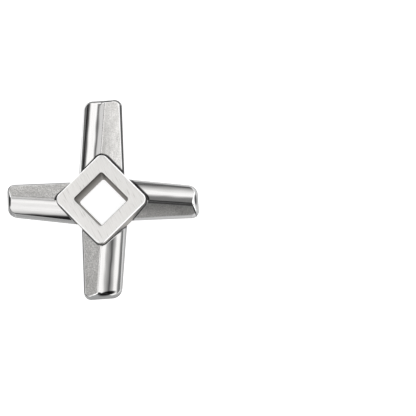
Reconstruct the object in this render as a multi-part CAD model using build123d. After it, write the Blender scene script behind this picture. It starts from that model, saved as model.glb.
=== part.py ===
"""Cross-shaped cutting knife of a meat grinder, cast and ground from one piece of steel.

Four arms stand round a square hub with a square drive hole. The underside is one flat
ground face that runs against the hole plate. Every arm has a convex polished face, a
crest, and a plain sloping cast face. Frame: the origin is on the drive hole's axis at the
flat ground face, +Z points to the raised back of the hub, and +X and +Y point along two
of the arms. All sizes are in millimetres and degrees.
"""
from build123d import *
import os
from dataclasses import dataclass
from math import asin, atan2, cos, hypot, radians, sin, tan

# ---------------------------------------------------------------- hub
HUB_WIDTH = 21.7             # across the flats, at the back face
HUB_HEIGHT = 9.0
HUB_DRAFT = 1.5              # the walls spread towards the ground face
HUB_CORNER_RADIUS = 2.25
HUB_EDGE_RADIUS = 0.4        # rounding round the back face
HUB_TURN_ANGLE = 45.0        # the flats face the gaps between the arms
HUB_FOOT_RADIUS = 0.5        # hollow where the hub's walls meet the arms

# ---------------------------------------------------------------- drive hole
HOLE_WIDTH = 11.2            # across the flats, at the ground face
HOLE_DRAFT = 4.6             # the hole widens towards the back face
HOLE_CORNER_RADIUS = 0.8

# ---------------------------------------------------------------- section of the arms
CREST_HEIGHT = 5.4           # of the crest line, at the root station
CREST_FALL_ANGLE = 1.6       # slope of the crest line down towards the tip
CREST_DRIFT_ANGLE = 3.6      # turn of the crest line towards the cast side
CREST_RADIUS = 1.35
POLISHED_ANGLE_AT_CREST = 5.0    # slopes of the polished arc
POLISHED_ANGLE_AT_WALL = 46.0
POLISHED_ANGLE_AT_END = 50.0     # the arc runs on past the wall, to its end
POLISHED_WALL_HEIGHT = 2.65  # of the walls below the two faces, at the root station
CAST_WALL_HEIGHT = 2.05
POLISHED_WALL_DRAFT = 18.0   # drafts are measured from the vertical
CAST_WALL_DRAFT = 9.0
TIP_WALL_DRAFT = 14.0
RIM_RADIUS = 1.2             # rounding between the walls and the two upper faces

# ---------------------------------------------------------------- outline of the arms
ARM_REACH = 31.3             # from the axis to the foot of a tip wall, along the arm
ROOT_STATION = 13.2          # distances from the axis at which the arms' widths are given
TIP_STATION = 29.6
TIP_SKEW_ANGLE = 4.0         # the cast side reaches further than the polished side
POLISHED_CORNER_RADIUS = 3.4
CAST_CORNER_RADIUS = 2.35

CUT_MARGIN = 1.0             # how far a cutting shape runs past what it cuts


@dataclass
class Arm:
    """One arm at the ground face: its direction, its reach along its centre line, and how
    far its long edges and its crest stand from that line. The reach is a share of the
    common reach. The distances are shares of the hub's width, because the arms grow out of
    the hub's corners. The edges are given at the root and the tip station, polished side
    and cast side. The crest is given at the root station, and counts towards the polished
    side."""
    turn: float
    reach_share: float
    polished_shares: tuple
    cast_shares: tuple
    crest_share: float

    @property
    def reach(self):
        return self.reach_share * ARM_REACH

    @property
    def polished_edge(self):
        return tuple(share * HUB_WIDTH for share in self.polished_shares)

    @property
    def cast_edge(self):
        return tuple(share * HUB_WIDTH for share in self.cast_shares)

    @property
    def crest(self):
        return self.crest_share * HUB_WIDTH


# The outline is ground by hand, so the four arms are not quite alike.
ARMS = [
    Arm(turn=0, reach_share=1.006, crest_share=0.0,
        polished_shares=(0.336, 0.264), cast_shares=(0.272, 0.241)),
    Arm(turn=90, reach_share=1.098, crest_share=0.04,
        polished_shares=(0.372, 0.330), cast_shares=(0.309, 0.275)),
    Arm(turn=180, reach_share=1.010, crest_share=0.0,
        polished_shares=(0.315, 0.234), cast_shares=(0.302, 0.270)),
    Arm(turn=270, reach_share=1.022, crest_share=0.0,
        polished_shares=(0.349, 0.300), cast_shares=(0.310, 0.276)),
]


def slope(angle):
    """Rise over run of a line at the given angle in degrees."""
    return tan(radians(angle))


def arm_outline(arm, height):
    """Outline of the arm's drafted block at the given height. The arm points along +X,
    with its polished side towards +Y and its cast side towards -Y. Each edge of the
    outline moves inwards with its own draft, and the corner arcs shrink with the cast
    side's."""
    reach = arm.reach - height * slope(TIP_WALL_DRAFT)

    def edge_distance(edge, x):
        root, tip = edge
        return root + (tip - root) * (x - ROOT_STATION) / (TIP_STATION - ROOT_STATION)

    def polished_edge(x):
        return edge_distance(arm.polished_edge, x) - height * slope(POLISHED_WALL_DRAFT)

    def cast_edge(x):
        return height * slope(CAST_WALL_DRAFT) - edge_distance(arm.cast_edge, x)

    polished_tip = reach - slope(TIP_SKEW_ANGLE) * polished_edge(reach)
    cast_tip = reach - slope(TIP_SKEW_ANGLE) * cast_edge(reach)
    shrink = height * slope(CAST_WALL_DRAFT)
    outline = FilletPolyline(
        (0, cast_edge(0)),
        (cast_tip, cast_edge(cast_tip)),
        (polished_tip, polished_edge(polished_tip)),
        (0, polished_edge(0)),
        radius=[CAST_CORNER_RADIUS - shrink, POLISHED_CORNER_RADIUS - shrink],
    )
    outline += Line((0, polished_edge(0)), (0, cast_edge(0)))
    return Pos(0, 0, height) * make_face(outline)


def arm_section(arm):
    """Section under the arm's two upper faces at its root station, moved to the plane
    X = 0. The cast face is straight, and the polished face is an arc that runs on past
    the wall. The crest's arc meets both of them smoothly."""
    floor = -CUT_MARGIN
    flat = radians(POLISHED_ANGLE_AT_CREST)
    steep = radians(POLISHED_ANGLE_AT_WALL)
    end = radians(POLISHED_ANGLE_AT_END)
    lift = ROOT_STATION * slope(CREST_FALL_ANGLE)
    crest_z = CREST_HEIGHT + lift - CREST_RADIUS
    cast_wall_top = (CAST_WALL_HEIGHT * slope(CAST_WALL_DRAFT) - arm.cast_edge[0], CAST_WALL_HEIGHT + lift)
    cast_run = arm.crest - cast_wall_top[0]
    cast_rise = crest_z - cast_wall_top[1]
    cast = atan2(cast_rise, cast_run) + asin(CREST_RADIUS / hypot(cast_run, cast_rise))

    def on_crest(angle):
        return (arm.crest + CREST_RADIUS * sin(angle), crest_z + CREST_RADIUS * cos(angle))

    wall_top_y = arm.polished_edge[0] - POLISHED_WALL_HEIGHT * slope(POLISHED_WALL_DRAFT)
    polished_width = wall_top_y - arm.crest - CREST_RADIUS * sin(flat)
    polished_radius = polished_width / (sin(steep) - sin(flat))
    polished_y = arm.crest + (CREST_RADIUS - polished_radius) * sin(flat)
    polished_z = crest_z + (CREST_RADIUS - polished_radius) * cos(flat)

    def on_polished(angle):
        return (polished_y + polished_radius * sin(angle), polished_z + polished_radius * cos(angle))

    cast_top = on_crest(-cast)
    cast_foot = (cast_top[0] - (cast_top[1] - floor) / tan(cast), floor)
    polished_end = on_polished(end)
    polished_foot = (polished_end[0] + (polished_end[1] - floor) / tan(end), floor)
    section = Line(cast_foot, cast_top)
    section += ThreePointArc(cast_top, on_crest((flat - cast) / 2), on_crest(flat))
    section += ThreePointArc(on_crest(flat), on_polished((flat + end) / 2), polished_end)
    section += Polyline(polished_end, polished_foot, cast_foot)
    return Plane.YZ * make_face(section)


def arm_solid(arm):
    """One arm along +X: its drafted block, cut to its two upper faces, with the rim
    between the faces and the walls rounded."""
    block_height = CREST_HEIGHT + CUT_MARGIN
    block = loft([arm_outline(arm, 0), arm_outline(arm, block_height)], ruled=True)
    along = Vector(1, -slope(CREST_DRIFT_ANGLE), -slope(CREST_FALL_ANGLE))
    length = (arm.reach + CUT_MARGIN) * along.length
    section = Pos(0, ROOT_STATION * slope(CREST_DRIFT_ANGLE), 0) * arm_section(arm)
    roof = extrude(section, amount=length, dir=along)
    solid = block & roof
    rim = [edge for edge in new_edges(block, roof, combined=solid) if edge.bounding_box().size.X > 0]
    return fillet(rim, RIM_RADIUS)


def square(width, height, corner_radius):
    """A square face with round corners, its flats turned to face the gaps between the
    arms."""
    return Pos(0, 0, height) * Rot(0, 0, HUB_TURN_ANGLE) * RectangleRounded(width, width, corner_radius)


def hub_solid():
    """The drafted square block of the hub, with the edge of its back face rounded."""
    foot_width = HUB_WIDTH + 2 * HUB_HEIGHT * slope(HUB_DRAFT)
    foot = square(foot_width, 0, HUB_CORNER_RADIUS)
    back = square(HUB_WIDTH, HUB_HEIGHT, HUB_CORNER_RADIUS)
    block = loft([foot, back], ruled=True)
    return fillet(block.faces().sort_by(Axis.Z)[-1].edges(), HUB_EDGE_RADIUS)


def drive_hole():
    """The tapered square space of the drive hole, run past both faces of the hub."""
    def width_at(height):
        return HOLE_WIDTH + 2 * height * slope(HOLE_DRAFT)

    heights = (-CUT_MARGIN, HUB_HEIGHT + CUT_MARGIN)
    return loft([square(width_at(height), height, HOLE_CORNER_RADIUS) for height in heights], ruled=True)


def knife_solid():
    """The whole knife as one piece: hub and arms, the hollow round the hub's foot, and the
    drive hole."""
    hub = hub_solid()
    arms = [Rot(0, 0, arm.turn) * arm_solid(arm) for arm in ARMS]
    body = hub.fuse(*arms)
    body = fillet(new_edges(hub, *arms, combined=body), HUB_FOOT_RADIUS)
    return body - drive_hole()


os.makedirs("parts", exist_ok=True)
knife = knife_solid()
export_step(knife, "parts/knife.step")
size = knife.bounding_box().size
print(f"knife: {size.X:.1f} x {size.Y:.1f} x {size.Z:.1f} mm, {knife.volume:.0f} cubic mm")
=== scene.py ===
"""Look of the meat grinder knife: four arms round a square hub, ground and polished from
one piece of cast steel.

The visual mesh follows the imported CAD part, in the same frame: the origin is on the drive
hole's axis at the flat ground face, and +Z points to the raised back of the hub. Lengths
are given in millimetres and angles in degrees, and the mesh is written in metres.
"""

import bmesh
import bpy
import numpy as np
from mathutils import Matrix, Vector


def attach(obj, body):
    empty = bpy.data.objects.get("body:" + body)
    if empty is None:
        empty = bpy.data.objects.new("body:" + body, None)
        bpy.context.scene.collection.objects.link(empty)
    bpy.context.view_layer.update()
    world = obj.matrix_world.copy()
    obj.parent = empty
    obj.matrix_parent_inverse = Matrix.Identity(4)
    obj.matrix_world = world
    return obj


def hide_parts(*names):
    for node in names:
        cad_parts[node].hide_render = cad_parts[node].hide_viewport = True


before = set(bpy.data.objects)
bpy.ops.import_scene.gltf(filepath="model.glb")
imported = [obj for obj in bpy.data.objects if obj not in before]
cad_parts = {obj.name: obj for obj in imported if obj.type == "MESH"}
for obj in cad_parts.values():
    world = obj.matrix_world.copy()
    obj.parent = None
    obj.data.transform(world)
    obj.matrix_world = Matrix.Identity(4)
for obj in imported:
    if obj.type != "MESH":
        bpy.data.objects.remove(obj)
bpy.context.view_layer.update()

MM = 0.001

# ---------------------------------------------------------------- hub
HUB_WIDTH = 21.7             # across the flats, at the back face
HUB_HEIGHT = 9.0
HUB_DRAFT = 1.5              # drafts are measured from the vertical
HUB_CORNER_RADIUS = 2.25
HUB_EDGE_RADIUS = 0.4
FOOT_RADIUS = 0.5            # hollow where the hub's walls meet the arms

# ---------------------------------------------------------------- drive hole
HOLE_WIDTH = 11.2            # across the flats, at the ground face
HOLE_DRAFT = 4.6
HOLE_CORNER_RADIUS = 0.8
HOLE_EDGE_BREAK = 0.12       # small bevel round the hole's mouth at the back face

# ---------------------------------------------------------------- section of the arms
CREST_HEIGHT = 5.4           # of the crest line, at the root station
CREST_FALL = 1.6             # slope of the crest line down towards the tip
CREST_DRIFT = 3.6            # turn of the crest line towards the cast side
CREST_RADIUS = 1.35
SLOPE_AT_CREST = 5.0         # slopes of the polished arc
SLOPE_AT_WALL = 46.0
POLISHED_WALL_HEIGHT = 2.65  # of the walls below the two faces, at the root station
CAST_WALL_HEIGHT = 2.05
POLISHED_WALL_DRAFT = 18.0
CAST_WALL_DRAFT = 9.0
TIP_WALL_DRAFT = 14.0
RIM_RADIUS = 1.2             # rounding between the walls and the two upper faces

# ---------------------------------------------------------------- waves of hand polishing
WAVE_HEIGHT = 0.005
WAVE_MARGIN = 1.2            # over which the waves die out at the crest and the rim
WAVE_TURN = 50               # an arm's direction over this is its waves' phase
# One row a wave: its share of the height, how fast it runs along and across the arm in
# radians a millimetre, and its share of the phase.
WAVES = ((1.0, 0.55, 1.1, 1.0), (0.7, 0.9, -1.7, 2.1), (0.6, 0.31, 2.3, 3.3))

# ---------------------------------------------------------------- outline of the arms
ROOT_STATION = 13.2          # distances from the axis at which the arms' widths are given
TIP_STATION = 29.6
TIP_SKEW = 4.0               # the cast side reaches further than the polished side
POLISHED_CORNER_RADIUS = 3.4
CAST_CORNER_RADIUS = 2.35

# One row an arm: direction, reach, polished edge and cast edge at the root and the tip
# station, and the crest's place at the root station.
ARMS = [
    dict(turn=0, reach=31.488, polished=(7.291, 5.729), cast=(5.902, 5.230), crest=0.0),
    dict(turn=90, reach=34.367, polished=(8.072, 7.161), cast=(6.705, 5.968), crest=0.868),
    dict(turn=180, reach=31.613, polished=(6.835, 5.078), cast=(6.553, 5.859), crest=0.0),
    dict(turn=270, reach=31.989, polished=(7.573, 6.510), cast=(6.727, 5.989), crest=0.0),
]

# ---------------------------------------------------------------- mesh
DEPTH_BELOW = 1.0            # how far the shells run below the ground face before the cut
DEPTH_STEP = 0.1             # how much deeper each arm runs than the one before
HUB_DEPTH_BELOW = 1.5
FAN_STATION = 27.0           # where the straight rows end and the tip's fan begins
ROOT_ROWS = 26               # rows that follow the hub's foot
ROOT_OFFSETS = (-0.3, 1.0)   # of those rows from the hub's wall
ROOT_CROWDING = 1.2          # the power that crowds those rows at the wall
STRAIGHT_ROWS = 52           # rows from there to the fan
STRAIGHT_OFFSET = 8.0        # from which the rows run straight across
FIRST_POINTS = 4             # points along the tip's outline, stretch by stretch
POLISHED_CORNER_POINTS = 30
MIDDLE_POINTS = 26
CAST_CORNER_POINTS = 24
LAST_POINTS = 12
WALL_STEPS = 6               # steps up a column of the mesh
RIM_STEPS = 12
FACE_STEPS = 30
FACE_EVENNESS = 0.35         # 1 spaces the face's steps evenly, 0 crowds them at its ends
SLOPE_STEP = 0.05            # over which a face's slope is measured
LEAST_TURN = 0.02            # of the rim's arc, in radians
ROUNDS = 60                  # of a search that draws nearer to its answer each round
HALVINGS = 40
STEEPEST_FOOT = 75.0         # slope at which the foot's hollow runs on inside the hub
SQUARE_ARC_STEPS = 14        # steps round a corner of the hub's square and along a side
SQUARE_SIDE_STEPS = 30
HOLE_WALL_RINGS = 8
HOLE_EDGE_ANGLES = (20, 45, 70, 90)
BACK_FACE_RINGS = 8
HUB_EDGE_RINGS = 8
HUB_WALL_RINGS = 12
SHARP_ANGLE = 30             # faces that meet at more than this keep a sharp edge
CUT_TOLERANCE = 1e-7         # of the cut at the ground face, in metres


def slope(angle):
    """Rise over run of a line at the given angle in degrees."""
    return np.tan(np.radians(angle))


def smooth_step(value, low, high):
    """0 below low, 1 above high, and a soft change between them."""
    share = np.clip((value - low) / (high - low), 0, 1)
    return share * share * (3 - 2 * share)


def mixed(off, on, share):
    """off where the share is 0, on where it is 1, and a straight mix between them."""
    return off + (on - off) * share


class Section:
    """The arm's upper faces, as heights over the plan: a straight cast face, the crest's
    arc, and the polished arc that runs on as a straight line. All three meet smoothly."""

    def __init__(self, arm):
        flat, steep = np.radians(SLOPE_AT_CREST), np.radians(SLOPE_AT_WALL)
        lift = ROOT_STATION * slope(CREST_FALL)
        self.crest = arm["crest"]
        self.phase = arm["turn"] / WAVE_TURN
        self.crest_z = CREST_HEIGHT + lift - CREST_RADIUS
        run = self.crest + arm["cast"][0] - CAST_WALL_HEIGHT * slope(CAST_WALL_DRAFT)
        rise = self.crest_z - CAST_WALL_HEIGHT - lift
        self.cast = np.arctan2(rise, run) + np.arcsin(CREST_RADIUS / np.hypot(run, rise))
        self.cast_top = self.crest - CREST_RADIUS * np.sin(self.cast)
        self.cast_top_z = self.crest_z + CREST_RADIUS * np.cos(self.cast)
        self.arc_start = self.crest + CREST_RADIUS * np.sin(flat)
        self.wall_top = arm["polished"][0] - POLISHED_WALL_HEIGHT * slope(POLISHED_WALL_DRAFT)
        self.arc_radius = (self.wall_top - self.arc_start) / (np.sin(steep) - np.sin(flat))
        self.arc_y = self.crest + (CREST_RADIUS - self.arc_radius) * np.sin(flat)
        self.arc_z = self.crest_z + (CREST_RADIUS - self.arc_radius) * np.cos(flat)
        self.wall_top_z = self.arc_z + self.arc_radius * np.cos(steep)

    def across(self, u, v):
        """Where a point of the arm falls across the section, counted from the crest."""
        return v + (u - ROOT_STATION) * slope(CREST_DRIFT) - self.crest

    def height(self, u, v):
        """Height of the upper faces above the ground face."""
        y = self.across(u, v) + self.crest
        on_cast = self.cast_top_z - (self.cast_top - y) * np.tan(self.cast)
        on_crest = self.crest_z + np.sqrt(np.maximum(CREST_RADIUS**2 - (y - self.crest) ** 2, 0))
        on_arc = self.arc_z + np.sqrt(np.maximum(self.arc_radius**2 - (y - self.arc_y) ** 2, 0))
        on_line = self.wall_top_z - (y - self.wall_top) * slope(SLOPE_AT_WALL)
        z = np.where(y < self.cast_top, on_cast, on_crest)
        z = np.where(y > self.arc_start, on_arc, z)
        z = np.where(y > self.wall_top, on_line, z)
        return z - u * slope(CREST_FALL) + self.waviness(u, y - self.crest)

    def waviness(self, u, across):
        """Unevenness left by hand polishing: crossed sine waves, which die out towards the
        crest and the rim."""
        from_edge = np.minimum(np.abs(across), np.maximum(self.wall_top - self.crest - across, 0))
        room = np.clip(from_edge / WAVE_MARGIN, 0, 1) ** 2
        waves = sum(share * np.sin(along * u + aside * across + shift * self.phase)
                    for share, along, aside, shift in WAVES)
        return WAVE_HEIGHT * room * (across > 0) * waves


def edge_line(edge, u):
    """Distance of a long edge from the arm's centre line, at station u."""
    root, tip = edge
    return root + (tip - root) * (u - ROOT_STATION) / (TIP_STATION - ROOT_STATION)


def hub_line(v, offset):
    """Station of the hub's foot outline, moved outwards by an offset, at the distance v
    from the arm's centre line: a quarter-turn corner that runs on as 45 degree lines."""
    half = HUB_WIDTH / 2 + (HUB_HEIGHT - CREST_HEIGHT) * slope(HUB_DRAFT)
    centre = np.sqrt(2) * (half - HUB_CORNER_RADIUS)
    radius = HUB_CORNER_RADIUS + offset
    on_corner = centre + np.sqrt(np.maximum(radius**2 - v**2, 0))
    on_flat = centre + np.sqrt(2) * radius - np.abs(v)
    return np.where(np.abs(v) < radius / np.sqrt(2), on_corner, on_flat)


def row_line(v, offset):
    """Station of a mesh row at the distance v from the centre line. Rows follow the hub's
    foot where the offset is small, and turn straight across further out."""
    straight = smooth_step(offset, ROOT_OFFSETS[1], STRAIGHT_OFFSET)
    return hub_line(v, offset) * (1 - straight) + hub_line(0 * v, offset) * straight


def corner_arc(a, b, c, radius, count):
    """Points and outward normals of the arc that rounds the corner b of the path a, b, c."""
    a, b, c = (np.array(p, float) for p in (a, b, c))
    first, second = (b - a) / np.linalg.norm(b - a), (c - b) / np.linalg.norm(c - b)
    normal_a = np.array((-first[1], first[0]))
    normal_b = np.array((-second[1], second[0]))
    turn = np.arctan2(first[0] * second[1] - first[1] * second[0], first @ second)
    start = b - first * radius * np.tan(abs(turn) / 2)
    centre = start - normal_a * radius
    angle = np.arctan2(normal_a[1], normal_a[0]) + np.linspace(0, turn, count)
    normals = np.stack((np.cos(angle), np.sin(angle)), 1)
    return centre + radius * normals, normals


def tip_outline(arm):
    """Outline from the fan station on the polished side, round the tip, to the fan station
    on the cast side: points, outward normals and wall drafts. It is three straight lines
    with an arc at each corner, and the drafts change evenly along the arcs."""
    def tip_corner(edge, side):
        """Where a long edge meets the skew line of the tip."""
        u = arm["reach"]
        for _ in range(ROUNDS):
            u = arm["reach"] - slope(TIP_SKEW) * side * edge_line(edge, u)
        return (u, side * edge_line(edge, u))

    start = (FAN_STATION, edge_line(arm["polished"], FAN_STATION))
    end = (FAN_STATION, -edge_line(arm["cast"], FAN_STATION))
    b, c = tip_corner(arm["polished"], 1), tip_corner(arm["cast"], -1)
    arc_b, normals_b = corner_arc(start, b, c, POLISHED_CORNER_RADIUS, POLISHED_CORNER_POINTS)
    arc_c, normals_c = corner_arc(b, c, end, CAST_CORNER_RADIUS, CAST_CORNER_POINTS)

    def straight(p, q, count):
        """Points between p and q, without either end."""
        return np.linspace(p, q, count + 1, endpoint=False)[1:]

    first = straight(start, arc_b[0], FIRST_POINTS)
    middle = straight(arc_b[-1], arc_c[0], MIDDLE_POINTS)
    last = straight(arc_c[-1], end, LAST_POINTS)
    points = np.concatenate((first, arc_b, middle, arc_c, last))
    normals = np.concatenate((np.tile(normals_b[0], (len(first), 1)), normals_b,
                              np.tile(normals_b[-1], (len(middle), 1)), normals_c,
                              np.tile(normals_c[-1], (len(last), 1))))
    drafts = np.concatenate((np.full(len(first), POLISHED_WALL_DRAFT),
                             np.linspace(POLISHED_WALL_DRAFT, TIP_WALL_DRAFT, len(arc_b)),
                             np.full(len(middle), TIP_WALL_DRAFT),
                             np.linspace(TIP_WALL_DRAFT, CAST_WALL_DRAFT, len(arc_c)),
                             np.full(len(last), CAST_WALL_DRAFT)))
    return points, normals, drafts


def side_rows(arm, section, offsets):
    """The straight rows: for each offset from the hub, where the row meets the polished
    edge, the cast edge and the crest line."""
    def meet(side_distance):
        """Where every row meets a line that is given by its distance at a station."""
        v = np.zeros_like(offsets)
        for _ in range(ROUNDS):
            v = 0.5 * v + 0.5 * side_distance(row_line(v, offsets))
        return np.stack((row_line(v, offsets), v), 1)

    polished = meet(lambda u: edge_line(arm["polished"], u))
    cast = meet(lambda u: -edge_line(arm["cast"], u))
    spine = meet(lambda u: section.crest - (u - ROOT_STATION) * slope(CREST_DRIFT))
    return polished, cast, spine


def hub_distance(points, z):
    """How far plan points lie outside the hub's wall at the height z, in plan."""
    half = HUB_WIDTH / 2 + (HUB_HEIGHT - z) * slope(HUB_DRAFT)
    u, v = points[..., 0], points[..., 1]
    turned = np.abs(np.stack((u + v, u - v), -1)) / np.sqrt(2)
    corner = turned - (half - HUB_CORNER_RADIUS)[..., None]
    outside = np.linalg.norm(np.maximum(corner, 0), axis=-1)
    return outside + np.minimum(corner.max(-1), 0) - HUB_CORNER_RADIUS


def hollow(points, z):
    """Extra height of the hollow round the hub's foot: a quarter of a circle from the
    arm's face up to the hub's wall, continued as a steep line inside the hub."""
    distance = hub_distance(points, z)
    steepest = np.radians(STEEPEST_FOOT)
    kept = np.clip(FOOT_RADIUS - distance, 0, FOOT_RADIUS * np.sin(steepest))
    rise = FOOT_RADIUS - np.sqrt(FOOT_RADIUS**2 - kept**2)
    past = np.maximum(FOOT_RADIUS * (1 - np.sin(steepest)) - distance, 0)
    return rise + past * np.tan(steepest)


def column_curves(section, outline, normals, drafts, spine, offsets):
    """Columns from the ground face up the wall, over the rounded rim and along the upper
    face to the crest. The wall is a straight line, the rim a cubic curve that meets the
    wall and the face smoothly, and the face follows the section. Returns an array of
    columns by steps by (u, v, z)."""
    count = len(outline)

    def plan(share):
        """Plan points at a share of the way from the outline to the crest."""
        v = outline[:, 1] + (spine[:, 1] - outline[:, 1]) * share
        straight = outline[:, 0] + (spine[:, 0] - outline[:, 0]) * share
        if offsets is None:
            return np.stack((straight, v), -1)
        return np.stack((row_line(v, offsets), v), -1)

    def inset(share):
        """How far the plan point lies inside the outline, square to it."""
        return -((plan(share) - outline) * normals).sum(-1)

    def share_at(distance):
        """The share at which the plan point lies that far inside the outline."""
        low, high = np.zeros(count), np.ones(count)
        for _ in range(HALVINGS):
            middle = (low + high) / 2
            inside = inset(middle) < distance
            low, high = np.where(inside, middle, low), np.where(inside, high, middle)
        return (low + high) / 2

    def roof(share):
        """Height of the upper faces at a share of the way to the crest."""
        p = plan(share)
        return section.height(p[:, 0], p[:, 1])

    draft = np.tan(np.radians(drafts))
    corner = np.full(count, 0.5)
    for _ in range(ROUNDS):
        corner = 0.5 * corner + 0.5 * draft * roof(share_at(corner))
    corner_z = roof(share_at(corner))
    roof_angle = np.arctan((roof(share_at(corner + SLOPE_STEP)) - corner_z) / SLOPE_STEP)
    wall_angle = np.radians(90 - drafts)
    turn = np.maximum(wall_angle - roof_angle, LEAST_TURN)
    reach = RIM_RADIUS * np.tan(turn / 2)
    start = np.stack((corner - reach * np.cos(wall_angle), corner_z - reach * np.sin(wall_angle)), -1)
    end_inset = corner + reach * np.cos(roof_angle)
    end_z = roof(share_at(end_inset))
    end_rise = roof(share_at(end_inset + SLOPE_STEP)) - roof(share_at(end_inset - SLOPE_STEP))
    end_angle = np.arctan(end_rise / (2 * SLOPE_STEP))
    end = np.stack((end_inset, end_z), -1)
    handle = RIM_RADIUS * 4 / 3 * np.tan(turn / 4)
    leave = start + handle[:, None] * np.stack((np.cos(wall_angle), np.sin(wall_angle)), -1)
    arrive = end - handle[:, None] * np.stack((np.cos(end_angle), np.sin(end_angle)), -1)

    curves = []
    for share in np.linspace(0, 1, WALL_STEPS + 1)[:-1]:
        point = start * share
        curves.append(np.concatenate((plan(share_at(point[:, 0])), point[:, 1:]), -1))
    for t in np.linspace(0, 1, RIM_STEPS + 1):
        point = (1 - t)**3 * start + 3 * (1 - t)**2 * t * leave + 3 * (1 - t) * t**2 * arrive + t**3 * end
        curves.append(np.concatenate((plan(share_at(point[:, 0])), point[:, 1:]), -1))
    rim_share = share_at(end_inset)
    for t in np.linspace(0, 1, FACE_STEPS + 1)[1:]:
        eased = FACE_EVENNESS * t + (1 - FACE_EVENNESS) * (1 - np.cos(np.pi * t)) / 2
        share = rim_share + (1 - rim_share) * eased
        curves.append(np.concatenate((plan(share), roof(share)[:, None]), -1))
    return np.stack(curves, 1)


def arm_shell(arm):
    """One closed shell: columns of points round the outline that all run up to the crest
    line, a skirt below them, a root wall inside the hub and a flat bottom."""
    section = Section(arm)
    apex = hub_line(np.zeros(1), 0.0)[0]
    near = mixed(*ROOT_OFFSETS, np.linspace(0, 1, ROOT_ROWS) ** ROOT_CROWDING)
    far = np.linspace(near[-1], FAN_STATION - apex, STRAIGHT_ROWS)[1:]
    offsets = np.concatenate((near, far))
    polished, cast, spine = side_rows(arm, section, offsets)
    tip, tip_normals, tip_drafts = tip_outline(arm)

    def side_normal(edge, side):
        """Outward direction, in plan, of a long edge."""
        fall = (edge[1] - edge[0]) / (TIP_STATION - ROOT_STATION)
        return np.array((-fall, side)) / np.hypot(fall, 1)

    rows = len(offsets)
    ends = np.tile(spine[-1], (len(tip), 1))
    polished_normals = np.tile(side_normal(arm["polished"], 1), (rows, 1))
    cast_normals = np.tile(side_normal(arm["cast"], -1), (rows, 1))
    polished_columns = column_curves(section, polished, polished_normals,
                                     np.full(rows, POLISHED_WALL_DRAFT), spine, offsets)
    cast_columns = column_curves(section, cast, cast_normals,
                                 np.full(rows, CAST_WALL_DRAFT), spine, offsets)
    tip_columns = column_curves(section, tip, tip_normals, tip_drafts, ends, None)
    columns = np.concatenate((polished_columns, tip_columns, cast_columns[::-1]))
    columns[..., 2] += hollow(columns[..., :2], columns[..., 2])

    count, steps = columns.shape[:2]
    index = np.arange(count * steps).reshape(count, steps)
    index[rows:rows + len(tip), -1] = index[rows - 1, -1]
    index[rows + len(tip):, -1] = index[:rows, -1][::-1]
    a, b, c, d = index[:-1, :-1], index[1:, :-1], index[1:, 1:], index[:-1, 1:]
    quads = np.stack((a, d, c, b), -1).reshape(-1, 4)

    ring = np.concatenate((index[:, 0], index[-1, 1:], index[0, 1:-1][::-1]))
    top_points = columns.reshape(-1, 3)
    low_points = top_points[ring].copy()
    low_points[:, 2] = -DEPTH_BELOW - DEPTH_STEP * arm["turn"] / 90
    low = np.arange(len(ring)) + len(top_points)
    ring_next, low_next = np.roll(ring, -1), np.roll(low, -1)
    skirt = np.stack((ring, ring_next, low_next, low), -1)
    points = np.concatenate((top_points, low_points))
    turn = np.radians(arm["turn"])
    x = points[:, 0] * np.cos(turn) - points[:, 1] * np.sin(turn)
    y = points[:, 0] * np.sin(turn) + points[:, 1] * np.cos(turn)
    return np.stack((x, y, points[:, 2]), -1), [*map(tuple, quads), *map(tuple, skirt), tuple(low[::-1])]


def rounded_square(half, radius):
    """Points of a square with round corners, its flats turned to face the gaps between
    the arms: a quarter circle and a straight side, four times round."""
    angle = np.linspace(0, np.pi / 2, SQUARE_ARC_STEPS + 1)
    inner = half - radius
    arc = np.stack((inner + radius * np.cos(angle), inner + radius * np.sin(angle)), -1)
    along = np.linspace(inner, -inner, SQUARE_SIDE_STEPS + 1)[1:-1]
    side = np.stack((along, np.full(len(along), half)), -1)
    quarter = np.concatenate((arc, side))
    parts = []
    for quarter_turn in range(4):
        turn = np.radians(45 + 90 * quarter_turn)
        parts.append(np.stack((quarter[:, 0] * np.cos(turn) - quarter[:, 1] * np.sin(turn),
                               quarter[:, 0] * np.sin(turn) + quarter[:, 1] * np.cos(turn)), -1))
    return np.concatenate(parts)


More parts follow.
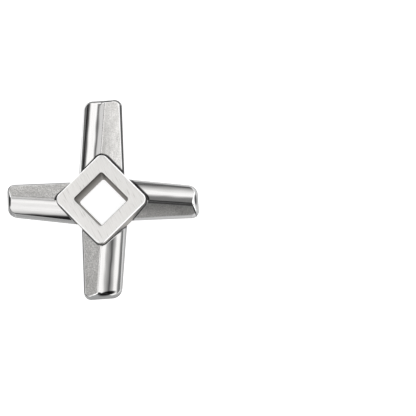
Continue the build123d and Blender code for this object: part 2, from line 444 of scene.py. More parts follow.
def hub_shell():
    """The hub as a closed ring: rounded squares stacked up the hole's wall, across the back
    face, over the rounded edge and down the outer wall. Each loop is half the square's
    width, the radius of its corners, and its height."""
    low = -HUB_DEPTH_BELOW
    mouth = HOLE_WIDTH / 2 + HUB_HEIGHT * slope(HOLE_DRAFT)
    hole_radius = HOLE_CORNER_RADIUS + HOLE_EDGE_BREAK
    edge = HUB_WIDTH / 2 - HUB_EDGE_RADIUS
    corner = HUB_CORNER_RADIUS - HUB_EDGE_RADIUS
    loops = []
    for z in np.linspace(low, HUB_HEIGHT - HOLE_EDGE_BREAK, HOLE_WALL_RINGS):
        loops.append((HOLE_WIDTH / 2 + z * slope(HOLE_DRAFT), HOLE_CORNER_RADIUS, z))
    for angle in np.radians(HOLE_EDGE_ANGLES):
        out = HOLE_EDGE_BREAK * (1 - np.cos(angle))
        down = HOLE_EDGE_BREAK * (1 - np.sin(angle))
        loops.append((mouth + out, HOLE_CORNER_RADIUS + out, HUB_HEIGHT - down))
    for share in np.linspace(0, 1, BACK_FACE_RINGS)[1:]:
        half = mixed(mouth + HOLE_EDGE_BREAK, edge, share)
        loops.append((half, mixed(hole_radius, corner, share), HUB_HEIGHT))
    for angle in np.radians(np.linspace(0, 90 - HUB_DRAFT, HUB_EDGE_RINGS)[1:]):
        loops.append((edge + HUB_EDGE_RADIUS * np.sin(angle), corner + HUB_EDGE_RADIUS * np.sin(angle),
                      HUB_HEIGHT - HUB_EDGE_RADIUS * (1 - np.cos(angle))))
    wall_top = HUB_HEIGHT - HUB_EDGE_RADIUS
    for z in np.linspace(wall_top, low, HUB_WALL_RINGS)[1:]:
        loops.append((HUB_WIDTH / 2 + (wall_top - z) * slope(HUB_DRAFT), HUB_CORNER_RADIUS, z))
    rings = []
    for half, radius, z in loops:
        square = rounded_square(half, radius)
        rings.append(np.concatenate((square, np.full((len(square), 1), z)), -1))
    points = np.stack(rings)
    levels, count = points.shape[:2]
    index = np.arange(levels * count).reshape(levels, count)
    a, b = index, np.roll(index, -1, 0)
    c, d = np.roll(b, -1, 1), np.roll(a, -1, 1)
    quads = np.stack((a, b, c, d), -1).reshape(-1, 4)
    return points.reshape(-1, 3), [*map(tuple, quads)]


def mesh_object(name, points, faces):
    """An object at the origin from points in millimetres, its faces turned outwards."""
    mesh = bpy.data.meshes.new(name)
    mesh.from_pydata((points * MM).tolist(), [], faces)
    piece = bpy.data.objects.new(name, mesh)
    bpy.context.collection.objects.link(piece)
    edit = bmesh.new()
    edit.from_mesh(mesh)
    bmesh.ops.recalc_face_normals(edit, faces=edit.faces)
    edit.to_mesh(mesh)
    edit.free()
    return piece


def joined_knife():
    """Hub and arms as one closed surface, cut flat at the ground face."""
    knife = mesh_object("knife_surface", *hub_shell())
    arms = [mesh_object("arm", *arm_shell(arm)) for arm in ARMS]
    for arm in arms:
        union = knife.modifiers.new("union", "BOOLEAN")
        union.operation = "UNION"
        union.solver = "MANIFOLD"
        union.object = arm
    graph = bpy.context.evaluated_depsgraph_get()
    mesh = bpy.data.meshes.new_from_object(knife.evaluated_get(graph))
    knife.modifiers.clear()
    knife.data = mesh
    for arm in arms:
        bpy.data.objects.remove(arm)
    edit = bmesh.new()
    edit.from_mesh(mesh)
    cut = bmesh.ops.bisect_plane(edit, geom=[*edit.verts, *edit.edges, *edit.faces], plane_co=(0, 0, 0),
                                 plane_no=(0, 0, 1), clear_inner=True, dist=CUT_TOLERANCE)
    border = [item for item in cut["geom_cut"] if isinstance(item, bmesh.types.BMEdge)]
    bmesh.ops.triangle_fill(edit, edges=border, normal=(0, 0, -1), use_beauty=True)
    bmesh.ops.recalc_face_normals(edit, faces=edit.faces)
    edit.to_mesh(mesh)
    edit.free()
    return knife


def smooth_surface(piece):
    """Smooth shading, with sharp edges where faces meet at a steep angle."""
    mesh = piece.data
    mesh.polygons.foreach_set("use_smooth", np.ones(len(mesh.polygons), bool))
    mesh.set_sharp_from_angle(angle=np.radians(SHARP_ANGLE))
    mesh.update()


# ---------------------------------------------------------------- painted light and shade on the steel
# The steep parts, the tips and the hub's walls carry painted greys: painted reflections,
# painted highlights and painted shade. A lean is the angle of the surface from level. One
# row an arm, in the order of ARMS:
#   wall          greys of the painted reflection on the polished side's wall, at its foot and at its top
#   rim           grey of the painted reflection on the rounded rim over that wall
#   cast_wall     grey of the painted reflection on the wall on the cast side
#   tip_wall      grey of the painted reflection on the wall round the tip
#   start         lean at which the polished face turns to its painted grey
#   tip_start     lean at which the tip's rim turns to its painted grey
#   corner        turn to the tip, as a sine, over which the tip's painted grey takes over
#   painted_face_light  painted light and shade on the cast face, at the crest and at its edge
#   grit          strength of the cast face's grain
#   crest_line    strength of the painted dark reflection along the crest
#   dark_reflection_ovals  painted dark reflections, as ovals at the tip, in the arm's own directions
ARM_PAINTED_LIGHT_AND_GRAIN = [
    dict(wall=(0.78, 0.50), rim=0.12, cast_wall=0.50, tip_wall=0.55,
         start=37, tip_start=44, corner=(0.30, 0.60),
         painted_face_light=(0.47, 0.88), grit=0.45, crest_line=0.95,
         dark_reflection_ovals=[dict(across=1.6, inwards=0.9, half_across=1.9, half_along=0.42, tilt=0.0, grey=0.02),
                dict(across=-1.9, inwards=1.5, half_across=1.9, half_along=0.30, tilt=0.35, grey=0.02)]),
    dict(wall=(1.0, 1.0), rim=0.12, cast_wall=0.06, tip_wall=0.12,
         start=36.5, tip_start=20, corner=(0.30, 0.60),
         painted_face_light=(0.76, 1.0), grit=0.35, crest_line=0.0,
         dark_reflection_ovals=[dict(across=0.8, inwards=1.8, half_across=0.7, half_along=0.3, tilt=1.1, grey=0.2)]),
    dict(wall=(0.40, 0.30), rim=0.12, cast_wall=0.15, tip_wall=0.17,
         start=35.5, tip_start=27, corner=(0.55, 0.65),
         painted_face_light=(0.93, 1.0), grit=0.6, crest_line=0.3,
         dark_reflection_ovals=[dict(across=1.2, inwards=1.25, half_across=2.1, half_along=0.55, tilt=0.0, grey=0.02)]),
    dict(wall=(0.36, 0.55), rim=0.40, cast_wall=0.10, tip_wall=0.30,
         start=38, tip_start=36, corner=(0.30, 0.60),
         painted_face_light=(0.93, 0.95), grit=0.5, crest_line=0.0,
         dark_reflection_ovals=[dict(across=3.0, inwards=1.6, half_across=2.9, half_along=0.75, tilt=0.15, grey=0.02)]),
]
PAINTED_CHANGE = 5.0                   # lean over which the polished steel gives way to a painted grey
CAST_PAINTED_ANGLES = (44.0, 52.0)     # the same on the cast side
RIM_ANGLES = (45.5, 52.0)           # lean over which the rim's painted grey gives way to the wall's
WALL_HEIGHTS = (0.5, 1.8)           # heights between which the wall's painted grey changes
SIDE_CHANGE = 3.0                   # half the width over which the two sides' greys mix
TIP_RIM = (0.10, 0.25)              # how far the tip's rim is turned to the tip, as a sine
CAST_EDGE = (0.05, 0.55)            # the cast face's edge, from the crest
FACE_LIGHT_WIDTH = 5.0                    # over which the cast face's painted light changes
HIGHLIGHT_START = (2.0, 5.0)              # painted highlight: lean past the cast face's own slope
HIGHLIGHT_END = (42.0, 48.0)
HIGHLIGHT_GREY = 0.95
CREST_LINE_START = (-1.0, -0.6)     # the painted dark reflection's two edges, across from the crest
CREST_LINE_END = (0.1, 0.5)
CREST_LINE_GREY = 0.04
OVAL_EDGE = (0.7, 1.15)             # soft edge of a painted dark reflection's oval, as shares of its half widths
ARM_SPACING = 100                   # keeps the patterns of two arms apart
# painted grey of points that lie in no arm's sector
BETWEEN_ARMS_GREY = 0.3
# The hub by quarter: its side by X and by Y, the greys of the painted shade and reflection on
# the hole's wall at the ground face and at the back, the grey of the painted reflection on the
# outer wall, and the width of the painted shade round the foot.
HUB_QUARTERS = [
    dict(x=-1, y=1, hole=(0.50, 0.06), wall=0.3, foot=1.2),
    dict(x=1, y=1, hole=(0.34, 0.12), wall=0.3, foot=1.1),
    dict(x=1, y=-1, hole=(0.12, 0.06), wall=0.50, foot=0.5),
    dict(x=-1, y=-1, hole=(0.30, 0.20), wall=0.50, foot=0.45),
]
ON_HUB = 0.02                       # distances outside the hub's wall
IN_HOLE = -3.0
HUB_PAINTED_ANGLES = (4.0, 12.0)       # lean over which the hub's back face gives way to a painted grey
HUB_HIGHLIGHT_END = (60.0, 75.0)
FOOT_SHADE_EDGE = 0.3                     # soft edge of the painted shade round the foot
FOOT_SHADE_GREY = 0.04


def oval(across, from_tip, dark_reflection):
    """1 inside a painted dark reflection, an oval at the tip, and 0 outside it, with a soft edge."""
    beside = across - dark_reflection["across"]
    aside = beside / dark_reflection["half_across"]
    along = (from_tip - dark_reflection["inwards"] - dark_reflection["tilt"] * beside) / dark_reflection["half_along"]
    return 1 - smooth_step(np.hypot(aside, along), *OVAL_EDGE)


def arm_painted_light(arm, painted_and_grain, points, normals, lean):
    """The painted light and the grain as they lie on one arm: which points belong to the arm's
    sector, each value of mark_surface, and the points in the arm's own directions."""
    turn = np.radians(arm["turn"])
    u = points[:, 0] * np.cos(turn) + points[:, 1] * np.sin(turn)
    v = points[:, 1] * np.cos(turn) - points[:, 0] * np.sin(turn)
    section = Section(arm)
    across = section.across(u, v)
    outwards = normals[:, 0] * np.cos(turn) + normals[:, 1] * np.sin(turn)
    on_tip = smooth_step(outwards, *TIP_RIM)
    rough = smooth_step(-across, *CAST_EDGE) * (1 - on_tip)

    # Painted reflections: greys of the wall, the rim, the cast side's wall and the tip's wall stand in for
    # what the steel mirrors there.
    wall = mixed(*painted_and_grain["wall"], smooth_step(points[:, 2], *WALL_HEIGHTS))
    grey = mixed(wall, painted_and_grain["rim"], 1 - smooth_step(lean, *RIM_ANGLES))
    grey = mixed(grey, painted_and_grain["cast_wall"], smooth_step(-v, -SIDE_CHANGE, SIDE_CHANGE))
    grey = mixed(grey, painted_and_grain["tip_wall"], smooth_step(outwards, *painted_and_grain["corner"]))

    on_side = smooth_step(lean, painted_and_grain["start"], painted_and_grain["start"] + PAINTED_CHANGE)
    on_rim = smooth_step(lean, painted_and_grain["tip_start"], painted_and_grain["tip_start"] + 2 * PAINTED_CHANGE) * on_tip
    painted_share = mixed(on_side, smooth_step(lean, *CAST_PAINTED_ANGLES), rough)
    # Painted highlight, near white, on the cast face's rounded edge and on the tip's rim.
    past_face = smooth_step(lean - np.degrees(section.cast), *HIGHLIGHT_START)
    edge_highlight = past_face * (1 - smooth_step(lean, *HIGHLIGHT_END)) * rough
    highlight = np.maximum(edge_highlight, on_tip * (1 - on_rim))
    # Painted dark reflection along the crest.
    on_line = smooth_step(across, *CREST_LINE_START) * (1 - smooth_step(across, *CREST_LINE_END))
    line = painted_and_grain["crest_line"] * on_line * (1 - on_tip)
    grey = mixed(mixed(grey, HIGHLIGHT_GREY, highlight), CREST_LINE_GREY, line)
    painted_share = np.max((painted_share, highlight, on_rim, line), axis=0)

    # Painted dark reflections: dark ovals in the tip's rounding.
    from_tip = arm["reach"] - slope(TIP_SKEW) * v - u
    for dark_reflection in painted_and_grain["dark_reflection_ovals"]:
        inside = oval(across, from_tip, dark_reflection)
        grey = mixed(grey, dark_reflection["grey"], inside)
        painted_share = np.maximum(painted_share, inside)

    # Painted light and shade on the cast face: brighter or darker by arm, and darker towards the crest.
    painted_face_light = mixed(*painted_and_grain["painted_face_light"], smooth_step(-across, 0, FACE_LIGHT_WIDTH))
    values = dict(cast=rough, painted_share=painted_share, painted_grey=grey, painted_face_light=painted_face_light, grit=painted_and_grain["grit"])
    return u > np.abs(v), values, np.stack((u, across, points[:, 2]), -1)


def lay_hub_painted_light(points, lean, values):
    """Lays the hub's painted greys over the values: painted reflections and painted shade on its
    walls and the wall of the hole, a painted highlight on the rounded edges, and painted shade
    in the hollow round its foot."""
    distance = hub_distance(points, points[:, 2])
    on_hub, in_hole = distance < ON_HUB, distance < IN_HOLE
    painted_grey = values["painted_grey"]
    foot_shade_width = np.zeros(len(points))
    # Painted reflections and painted shade on the hub's outer walls and the hole's walls, by quarter; the
    # hole's walls turn darker towards the back face.
    for part in HUB_QUARTERS:
        quarter = (points[:, 0] * part["x"] >= 0) & (points[:, 1] * part["y"] >= 0)
        hole_wall = mixed(*part["hole"], points[:, 2] / HUB_HEIGHT)
        painted_grey = np.where(quarter & on_hub, part["wall"], painted_grey)
        painted_grey = np.where(quarter & in_hole, hole_wall, painted_grey)
        foot_shade_width = np.where(quarter, part["foot"], foot_shade_width)
    off_level = smooth_step(lean, *HUB_PAINTED_ANGLES)
    # Painted highlight on the hub's rounded edges.
    highlight = off_level * (1 - smooth_step(lean, *HUB_HIGHLIGHT_END)) * on_hub * ~in_hole
    # Painted shade in the hollow round the hub's foot.
    foot = (1 - smooth_step(distance, foot_shade_width - FOOT_SHADE_EDGE, foot_shade_width)) * ~on_hub
    values["painted_share"] = np.where(on_hub, off_level, np.maximum(values["painted_share"], foot))
    values["painted_grey"] = mixed(mixed(painted_grey, HIGHLIGHT_GREY, highlight), FOOT_SHADE_GREY, foot)


def mark_surface(piece):
    """Point attributes for the steel's painted light and its grain. "cast" is 1 on the rough
    faces and 0 on the polished ones. The painted share is 1 where the bright steel gives way
    to the painted grey, which stands for painted reflections, highlights and shade. The
    painted face light is painted light and shade on the rough steel, and "grit" the strength
    of its grain. "place" is the point in its arm's own directions, in millimetres. Every
    point belongs to the arm whose sector it lies in."""
    mesh = piece.data
    count = len(mesh.vertices)
    flat_points, flat_normals = np.empty(count * 3), np.empty(count * 3)
    mesh.vertices.foreach_get("co", flat_points)
    mesh.vertex_normals.foreach_get("vector", flat_normals)
    points = flat_points.reshape(-1, 3) / MM
    normals = flat_normals.reshape(-1, 3)
    lean = np.degrees(np.arccos(np.clip(normals[:, 2], -1, 1)))
    values = dict(cast=np.zeros(count), painted_share=np.zeros(count), painted_grey=np.full(count, BETWEEN_ARMS_GREY),
                  painted_face_light=np.ones(count), grit=np.zeros(count))
    place = points.copy()
    for row, (arm, painted_and_grain) in enumerate(zip(ARMS, ARM_PAINTED_LIGHT_AND_GRAIN)):
        here, arm_values, arm_place = arm_painted_light(arm, painted_and_grain, points, normals, lean)
        for name in values:
            values[name] = np.where(here, arm_values[name], values[name])
        arm_place[:, 0] += ARM_SPACING * row
        place = np.where(here[:, None], arm_place, place)
    lay_hub_painted_light(points, lean, values)
    for name in values:
        attribute = mesh.attributes.new(name, "FLOAT", "POINT")
        attribute.data.foreach_set("value", values[name].astype(np.float32))
    attribute = mesh.attributes.new("place", "FLOAT_VECTOR", "POINT")
    attribute.data.foreach_set("vector", place.astype(np.float32).ravel())


# ---------------------------------------------------------------- steel
STEEL = (0.745, 0.737, 0.730, 1)
LINED_STEEL = (0.62, 0.61, 0.595, 1)
CAST_STEEL = (0.68, 0.67, 0.655, 1)
WORN_CAST_STEEL = (0.56, 0.55, 0.535, 1)
HUB_STEEL = (0.84, 0.828, 0.81, 1)
HUB_LINED_STEEL = (0.70, 0.68, 0.655, 1)
HUB_SCRATCH = (0.5, 0.48, 0.46, 1)
EDGE_TINT = (0.6, 0.6, 0.6, 1)      # keeps the steep greys dark where the light grazes them
HUB_EDGE_TINT = (0.50, 0.47, 0.44, 1)
# Scales of the patterns along the arm, across it and upwards, in cycles a millimetre.
LINE_SCALE = (0.12, 5.0, 0.5)
BROAD_SCALE = (0.18, 0.7, 0.3)
GRAIN_SCALE = (2.6, 3.2, 2.6)
PATCH_SCALE = (0.25, 0.6, 0.4)
# The hub's, along its grinding lines, across them and upwards, in cycles a metre.
HUB_LINE_SCALE = (200, 5000, 100)
HUB_SCRATCH_SCALE = (250, 2500, 100)
HUB_LINE_TURN = 115                 # of the grinding lines about +Z
UNDERSIDE_LINE_TURN = 30
HUB_SCRATCH_TURN = 4                # of the scratches from the lines
GRAIN_DETAIL = 5.0                  # how many finer layers a pattern's noise has
HUB_LINE_DETAIL = 3.0
HUB_SCRATCH_DETAIL = 1.0
# Strengths of the patterns, and the stretches of their 0 to 1 over which they take effect.
LINE_STRENGTH = 0.5
HUB_LINE_STRENGTH = 0.6
HUB_SCRATCH_STRENGTH = 0.5
LINE_RANGE = (0.45, 0.8)
BROAD_RANGE = (0.3, 0.7)
PATCH_RANGE = (0.35, 0.7)
GRAIN_RANGE = (0.34, 0.66)
HUB_LINE_RANGE = (0.45, 0.75)
HUB_SCRATCH_RANGE = (0.62, 0.72)
GRAIN_LIGHT = (1.45, 0.35)          # brightness of the grain, from its hollows to its grit
POLISHED_ROUGHNESS = (0.03, 0.09)
CAST_ROUGHNESS = 0.38
HUB_ROUGHNESS = 0.35
GRAIN_DEPTH = 0.000024              # depths in metres
LINE_DEPTH = 0.0000012
HUB_LINE_DEPTH = 0.000004
GROUND_FACE_HEIGHT = 0.001          # below this, faces that look down are the ground face
DOWNWARDS = -0.9
# A mix node keeps its sockets for numbers, vectors and colours side by side under the same
# names, so those for colours are told by their place.
MIX_FACTOR, MIX_OFF, MIX_ON, MIX_RESULT = 0, 6, 7, 2


def new_material(name):
    """An empty material, its nodes and links, and its shader."""
    material = bpy.data.materials.new(name)
    material.use_nodes = True
    nodes, links = material.node_tree.nodes, material.node_tree.links
    shader = nodes["Principled BSDF"]
    return material, nodes, links, shader


def streaks(nodes, links, coordinates, turn, scale, detail=2.0):
    """Noise from 0 to 1 in coordinates turned about +Z and stretched: scale is in cycles a
    unit of the coordinates, along the three axes."""
    mapping = nodes.new("ShaderNodeMapping")
    mapping.vector_type = "TEXTURE"
    mapping.inputs["Rotation"].default_value[2] = np.radians(turn)
    mapping.inputs["Scale"].default_value = tuple(1 / value for value in scale)
    noise = nodes.new("ShaderNodeTexNoise")
    noise.inputs["Scale"].default_value = 1.0
    noise.inputs["Detail"].default_value = detail
    links.new(coordinates, mapping.inputs["Vector"])
    links.new(mapping.outputs["Vector"], noise.inputs["Vector"])
    return noise.outputs["Fac"]


def mapped(nodes, links, value, low, high, start=0.0, end=1.0):
    """A value that runs from start to end, spread over low to high."""
    node = nodes.new("ShaderNodeMapRange")
    node.inputs["From Min"].default_value = start
    node.inputs["From Max"].default_value = end
    for name, number in (("To Min", low), ("To Max", high)):
        if isinstance(number, (int, float)):
            node.inputs[name].default_value = number
        else:
            links.new(number, node.inputs[name])
    links.new(value, node.inputs["Value"])
    return node.outputs["Result"]


def attribute_node(nodes, name):
    """The node that reads one of the attributes that mark_surface wrote."""
    node = nodes.new("ShaderNodeAttribute")
    node.attribute_name = name
    return node


def blend(nodes, links, factor, off, on, mode="MIX"):
    """Colour between off and on; each is a colour or a socket."""
    node = nodes.new("ShaderNodeMix")
    node.data_type = "RGBA"
    node.blend_type = mode
    for place, value in ((MIX_FACTOR, factor), (MIX_OFF, off), (MIX_ON, on)):
        if isinstance(value, (int, float, tuple)):
            node.inputs[place].default_value = value
        else:
            links.new(value, node.inputs[place])
    return node.outputs[MIX_RESULT]


def bump(nodes, links, height, depth, before=None):
    """Surface grain: height from 0 to 1 stands for the given depth in metres."""
    node = nodes.new("ShaderNodeBump")
    node.inputs["Strength"].default_value = 1.0
    node.inputs["Distance"].default_value = 1.0
    links.new(mapped(nodes, links, height, 0.0, depth), node.inputs["Height"])
    if before is not None:
        links.new(before, node.inputs["Normal"])
    return node.outputs["Normal"]


def arm_steel():
    """Polished steel with fine lines along the arm, rough steel with a grain and painted light on
    the cast faces, and painted greys on the steep parts: painted reflections, highlights and shade."""
    material, nodes, links, shader = new_material("arm_steel")
    cast, painted_share, painted_grey, painted_face_light, grit = (attribute_node(nodes, attribute).outputs["Fac"]
                                     for attribute in ("cast", "painted_share", "painted_grey", "painted_face_light", "grit"))
    place = attribute_node(nodes, "place").outputs["Vector"]
    lines = streaks(nodes, links, place, 0, LINE_SCALE)
    broad = streaks(nodes, links, place, 0, BROAD_SCALE)
    grain = streaks(nodes, links, place, 0, GRAIN_SCALE, GRAIN_DETAIL)
    patches = streaks(nodes, links, place, 0, PATCH_SCALE)

    patchy = mapped(nodes, links, patches, 0.0, 1.0, *PATCH_RANGE)
    worn_and_lit = blend(nodes, links, patchy, CAST_STEEL, WORN_CAST_STEEL)
    grain_light = mapped(nodes, links, grain, *GRAIN_LIGHT, *GRAIN_RANGE)
    speckled = blend(nodes, links, 1.0, worn_and_lit, grain_light, "MULTIPLY")
    worn_and_lit = blend(nodes, links, grit, worn_and_lit, speckled)
    # Painted light and shade on the cast face, by arm and across it.
    worn_and_lit = blend(nodes, links, 1.0, worn_and_lit, painted_face_light, "MULTIPLY")
    lined = mapped(nodes, links, lines, 0.0, LINE_STRENGTH, *LINE_RANGE)
    polished = blend(nodes, links, lined, STEEL, LINED_STEEL)
    bright = blend(nodes, links, cast, polished, worn_and_lit)
    # Painted greys over the steel: painted reflections, highlights and shade.
    links.new(blend(nodes, links, painted_share, bright, painted_grey), shader.inputs["Base Color"])

    smooth = mapped(nodes, links, broad, *POLISHED_ROUGHNESS, *BROAD_RANGE)
    links.new(mapped(nodes, links, cast, smooth, CAST_ROUGHNESS), shader.inputs["Roughness"])
    fine_lines = bump(nodes, links, lines, LINE_DEPTH)
    grain_height = mapped(nodes, links, cast, 0.5, grain)
    links.new(bump(nodes, links, grain_height, GRAIN_DEPTH, fine_lines), shader.inputs["Normal"])
    shader.inputs["Metallic"].default_value = 1.0
    shader.inputs["Specular Tint"].default_value = EDGE_TINT
    return material


def ground_steel(name, turn):
    """Steel ground with straight fine lines and a few scratches, at the given turn about
    +Z, with painted greys laid over it: painted reflections, highlights and shade."""
    material, nodes, links, shader = new_material(name)
    painted_share = attribute_node(nodes, "painted_share").outputs["Fac"]
    painted_grey = attribute_node(nodes, "painted_grey").outputs["Fac"]
    place = nodes.new("ShaderNodeTexCoord").outputs["Object"]
    lines = streaks(nodes, links, place, turn, HUB_LINE_SCALE, HUB_LINE_DETAIL)
    scratch_turn = turn + HUB_SCRATCH_TURN
    scratches = streaks(nodes, links, place, scratch_turn, HUB_SCRATCH_SCALE, HUB_SCRATCH_DETAIL)

    lined = mapped(nodes, links, lines, 0.0, HUB_LINE_STRENGTH, *HUB_LINE_RANGE)
    ground = blend(nodes, links, lined, HUB_STEEL, HUB_LINED_STEEL)
    scratched = mapped(nodes, links, scratches, 0.0, HUB_SCRATCH_STRENGTH, *HUB_SCRATCH_RANGE)
    ground = blend(nodes, links, scratched, ground, HUB_SCRATCH)
    # Painted greys over the ground steel: painted reflections, highlights and shade.
    links.new(blend(nodes, links, painted_share, ground, painted_grey), shader.inputs["Base Color"])
    links.new(bump(nodes, links, lines, HUB_LINE_DEPTH), shader.inputs["Normal"])
    shader.inputs["Metallic"].default_value = 1.0
    shader.inputs["Specular Tint"].default_value = HUB_EDGE_TINT
    shader.inputs["Roughness"].default_value = HUB_ROUGHNESS
    return material


def assign_materials(piece):
    """Slot 0 on the arms, slot 1 on the hub, slot 2 on the ground underside."""
    mesh = piece.data
    mesh.materials.clear()
    mesh.materials.append(arm_steel())
    mesh.materials.append(ground_steel("hub_steel", HUB_LINE_TURN))
    mesh.materials.append(ground_steel("underside_steel", UNDERSIDE_LINE_TURN))
    centres = np.empty(len(mesh.polygons) * 3)
    normals = np.empty(len(mesh.polygons) * 3)
    mesh.polygons.foreach_get("center", centres)
    mesh.polygons.foreach_get("normal", normals)
    x, y, z = (centres.reshape(-1, 3) / MM).T
    half = HUB_WIDTH / 2 + (HUB_HEIGHT - z) * slope(HUB_DRAFT) + ON_HUB
    inside_hub = np.maximum(np.abs(x + y), np.abs(x - y)) / np.sqrt(2) < half
    slots = np.where(inside_hub, 1, 0)
    underside = (z < GROUND_FACE_HEIGHT) & (normals.reshape(-1, 3)[:, 2] < DOWNWARDS)
    slots = np.where(underside, 2, slots)
    mesh.polygons.foreach_set("material_index", slots.astype(np.int32))
    mesh.update()


# ---------------------------------------------------------------- studio
# The light by direction. Four narrow strips stand over the knife, one for each polished
# face, with panels and gaps by angle from the zenith: -90 and 90 are the horizon. Each
# stop is an angle and the grey that the steel shows there, as a share of white.
STRIP_X = [(-90, 0.22), (-83, 0.28), (-76, 0.42), (-70, 0.90), (-66, 1.0), (-43, 0.99), (-38, 0.62),
           (-34, 0.36), (-30, 0.62), (-26, 0.81), (-4, 0.81), (2, 0.99), (19, 0.98), (26, 0.72), (36, 0.56),
           (44, 0.30), (50, 0.58), (56, 0.72), (59, 0.88), (63, 0.98), (74, 0.98), (80, 0.62), (90, 0.60)]
STRIP_Y = [(-90, 0.42), (-79, 0.34), (-73, 0.28), (-68, 0.50), (-63, 0.78), (-52, 0.92), (-42, 0.95),
           (-26, 0.90), (-17, 0.98), (-11, 0.96), (-5, 0.76), (3, 0.40), (14, 0.24), (23, 0.46), (31, 0.45),
           (36, 0.54), (45, 0.97), (54, 0.98), (65, 0.85), (73, 0.70), (84, 0.45), (90, 0.50)]
STRIP_DARK = [(-90, 0.40), (-75, 0.36), (-60, 0.30), (-40, 0.20), (-10, 0.20), (0, 0.4)]
SHEEN = 0.87                 # how much of a strip's grey the steel gives back
SCREEN_POWER = 2.2           # of a screen's grey in the light that it stands for
# Places in the tent are shares of its radius.
TENT_RADIUS = 1.0            # in metres
TENT_SEGMENTS = 64
TENT_RINGS = 32
STRIP_HALF_WIDTH = 0.10
STRIP_SOFT_EDGE = 0.05
STRIP_PLACES = {"-X": 0.23, "+X": -0.04, "-Y": -0.22, "+Y": 0.05}
PLACE_CHANGE = 0.08          # half the length over which a strip changes its place
DARK_PLACE = 0.13
DARK_END = (-0.12, -0.02)
SIDE_LIGHT = {"+X": 1.1, "-X": 0.36, "+Y": 0.5, "-Y": 0.04}
SIDE_CHANGE_REACH = 0.9      # half the width over which one side's light becomes the other's
CORNER_LIGHT = 1.2
HORIZON_LIGHT = 0.12         # share of the light that is left at the horizon
HORIZON_TOP = 0.2            # height at which the light is whole
ZENITH_LIGHT = 1.47
ZENITH_EDGE = (0.75, 0.95)   # heights between which the light becomes the zenith's
LEAST_HEIGHT = 0.001         # keeps divisions away from zero
FLOOR_SIZE = 4               # in metres
FLOOR_DROP = 0.00002         # of the floor below the knife, in metres
FLOOR_COLOUR = (0.5, 0.5, 0.5, 1)
FLOOR_ROUGHNESS = 0.9
FLOOR_GLOW = 0.82            # brings the floor to white where it is seen or mirrored
CAMERA_AT = (32.59, -50.83, 394.1)
CAMERA_AIM = (34.65, -1.81, 0.0)
CAMERA_LENS = 103.85
CAMERA_SENSOR = 36
CAMERA_RANGE = (0.01, 10)    # in metres


def ramp_of(nodes, links, value, stops):
    """A ramp of greys over angles from -90 to 90 degrees. Each stop is an angle and the
    grey that it shows on a screen, as a share of white."""
    ramp = nodes.new("ShaderNodeValToRGB")
    elements = ramp.color_ramp.elements
    for _ in stops[2:]:
        elements.new(0.5)
    for element, (angle, grey) in zip(elements, stops):
        element.position = (angle + 90) / 180
        light = (grey / SHEEN) ** SCREEN_POWER
        element.color = (light, light, light, 1)
    links.new(value, ramp.inputs["Fac"])
    return ramp.outputs["Color"]


class NodeMaths:
    """Short names for the maths nodes of one node tree."""

    def __init__(self, nodes, links):
        self.nodes, self.links = nodes, links

    def use(self, operation, *values):
        """One operation on numbers or sockets."""
        node = self.nodes.new("ShaderNodeMath")
        node.operation = operation
        for socket, value in zip(node.inputs, values):
            if isinstance(value, (int, float)):
                socket.default_value = value
            else:
                self.links.new(value, socket)
        return node.outputs["Value"]

    def spread(self, value, low, high, to_low=0.0, to_high=1.0):
        """A soft change from to_low to to_high while the value runs from low to high."""
        node = self.nodes.new("ShaderNodeMapRange")
        node.interpolation_type = "SMOOTHSTEP"
        for name, number in (("From Min", low), ("From Max", high), ("To Min", to_low), ("To Max", to_high)):
            node.inputs[name].default_value = number
        self.links.new(value, node.inputs["Value"])
        return node.outputs["Result"]

    def mix(self, factor, off, on):
        """A colour between off and on."""
        return blend(self.nodes, self.links, factor, off, on)


def strip(maths, stops, along, across, above, places):
    """One strip of the tent: its light, and a mask that is 1 on the strip. It runs in the
    direction along, and its middle lies at one place on the low side of the tent and at
    the other on the high side."""
    angle = maths.use("ARCTAN2", along, above)
    share = maths.use("ADD", maths.use("DIVIDE", angle, np.pi), 0.5)
    light = ramp_of(maths.nodes, maths.links, share, stops)
    place = maths.spread(along, -PLACE_CHANGE, PLACE_CHANGE, *places)
    aside = maths.use("ABSOLUTE", maths.use("SUBTRACT", across, place))
    mask = maths.spread(aside, STRIP_HALF_WIDTH, STRIP_HALF_WIDTH + STRIP_SOFT_EDGE, 1.0, 0.0)
    return light, mask


def broad_light(maths, x, y, z):
    """The soft light behind the strips: the four sides mixed by direction, more between
    the sides, little at the horizon, and a light of its own at the zenith."""
    circle = maths.use("SQRT", maths.use("SUBTRACT", 1.0, maths.use("MULTIPLY", z, z)))
    flat = maths.use("MAXIMUM", circle, LEAST_HEIGHT)
    east, north = maths.use("DIVIDE", x, flat), maths.use("DIVIDE", y, flat)
    reach = SIDE_CHANGE_REACH
    along_x = maths.spread(east, -reach, reach, SIDE_LIGHT["-X"], SIDE_LIGHT["+X"])
    along_y = maths.spread(north, -reach, reach, SIDE_LIGHT["-Y"], SIDE_LIGHT["+Y"])
    share = maths.use("MULTIPLY", north, north)
    sides = maths.use("ADD", maths.use("MULTIPLY", along_x, maths.use("SUBTRACT", 1.0, share)),
                      maths.use("MULTIPLY", along_y, share))
    corner = maths.use("MULTIPLY", maths.use("MULTIPLY", east, east), share)
    light = maths.use("ADD", sides, maths.use("MULTIPLY", corner, 4 * CORNER_LIGHT))
    light = maths.use("MULTIPLY", light, maths.spread(z, 0.0, HORIZON_TOP, HORIZON_LIGHT, 1.0))
    zenith = maths.spread(z, *ZENITH_EDGE)
    return maths.use("ADD", maths.use("MULTIPLY", light, maths.use("SUBTRACT", 1.0, zenith)),
                     maths.use("MULTIPLY", zenith, ZENITH_LIGHT))


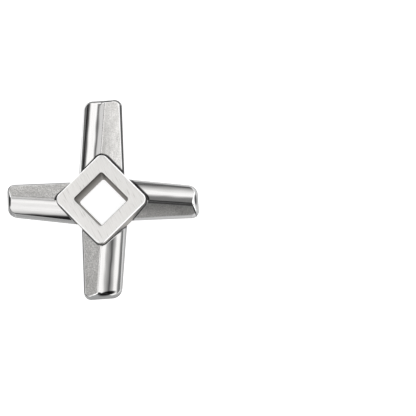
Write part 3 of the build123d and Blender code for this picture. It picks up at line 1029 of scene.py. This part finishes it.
def tent_light():
    """Material of the light tent: a broad soft light that differs by side, and the strips
    laid over it."""
    material = bpy.data.materials.new("tent_light")
    material.use_nodes = True
    nodes, links = material.node_tree.nodes, material.node_tree.links
    nodes.clear()
    maths = NodeMaths(nodes, links)
    split = nodes.new("ShaderNodeSeparateXYZ")
    links.new(nodes.new("ShaderNodeTexCoord").outputs["Object"], split.inputs["Vector"])
    x, y, z = (maths.use("DIVIDE", split.outputs[name], TENT_RADIUS) for name in "XYZ")
    above = maths.use("MAXIMUM", z, LEAST_HEIGHT)
    light = broad_light(maths, x, y, z)
    dark, dark_mask = strip(maths, STRIP_DARK, y, x, above, (DARK_PLACE, DARK_PLACE))
    on_low_side = maths.spread(y, *DARK_END, 1.0, 0.0)
    light = maths.mix(maths.use("MULTIPLY", dark_mask, on_low_side), light, dark)
    for stops, along, across, places in (
            (STRIP_Y, y, x, (STRIP_PLACES["-Y"], STRIP_PLACES["+Y"])),
            (STRIP_X, x, y, (STRIP_PLACES["-X"], STRIP_PLACES["+X"]))):
        strip_light, mask = strip(maths, stops, along, across, above, places)
        light = maths.mix(mask, light, strip_light)
    emission = nodes.new("ShaderNodeEmission")
    links.new(light, emission.inputs["Color"])
    output = nodes.new("ShaderNodeOutputMaterial")
    links.new(emission.outputs["Emission"], output.inputs["Surface"])
    return material


def light_tent():
    """A tent round the knife that gives all the light. The camera looks through it."""
    bpy.ops.mesh.primitive_uv_sphere_add(segments=TENT_SEGMENTS, ring_count=TENT_RINGS, radius=TENT_RADIUS)
    tent = bpy.context.object
    tent.name = "light_tent"
    tent.visible_camera = False
    tent.data.materials.append(tent_light())


def white_world():
    """Plain white behind the floor's far edge."""
    world = bpy.data.worlds.new("white")
    world.use_nodes = True
    world.node_tree.nodes["Background"].inputs["Color"].default_value = (1, 1, 1, 1)
    bpy.context.scene.world = world


def studio_floor():
    """White floor that keeps the knife's soft shadow."""
    bpy.ops.mesh.primitive_plane_add(size=FLOOR_SIZE, location=(0, 0, -FLOOR_DROP))
    floor = bpy.context.object
    floor.name = "floor"
    material, nodes, links, shader = new_material("floor_white")
    shader.inputs["Base Color"].default_value = FLOOR_COLOUR
    shader.inputs["Roughness"].default_value = FLOOR_ROUGHNESS
    shader.inputs["Specular IOR Level"].default_value = 0.0
    path = nodes.new("ShaderNodeLightPath")
    maths = NodeMaths(nodes, links)
    mirrored = maths.use("MAXIMUM", path.outputs["Is Glossy Ray"], path.outputs["Is Transmission Ray"])
    seen = maths.use("MAXIMUM", path.outputs["Is Camera Ray"], mirrored)
    shader.inputs["Emission Color"].default_value = (1, 1, 1, 1)
    links.new(mapped(nodes, links, seen, 0.0, FLOOR_GLOW), shader.inputs["Emission Strength"])
    floor.data.materials.append(material)


def studio_camera():
    """A long lens high over the knife, a little in front of it, aimed beside it."""
    data = bpy.data.cameras.new("camera")
    data.sensor_width = CAMERA_SENSOR
    data.lens = CAMERA_LENS
    data.clip_start, data.clip_end = CAMERA_RANGE
    camera = bpy.data.objects.new("camera", data)
    bpy.context.collection.objects.link(camera)
    place, aim = Vector(CAMERA_AT) * MM, Vector(CAMERA_AIM) * MM
    forward = (aim - place).normalized()
    right = forward.cross(Vector((0, 1, 0))).normalized()
    up = right.cross(forward)
    camera.matrix_world = Matrix((
        (right.x, up.x, -forward.x, place.x),
        (right.y, up.y, -forward.y, place.y),
        (right.z, up.z, -forward.z, place.z),
        (0, 0, 0, 1),
    ))
    bpy.context.scene.camera = camera


# ---------------------------------------------------------------- the scene
knife = joined_knife()
smooth_surface(knife)
mark_surface(knife)
assign_materials(knife)
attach(knife, "root")
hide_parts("knife")
white_world()
light_tent()
studio_floor()
studio_camera()
bpy.context.scene.view_settings.view_transform = "Standard"
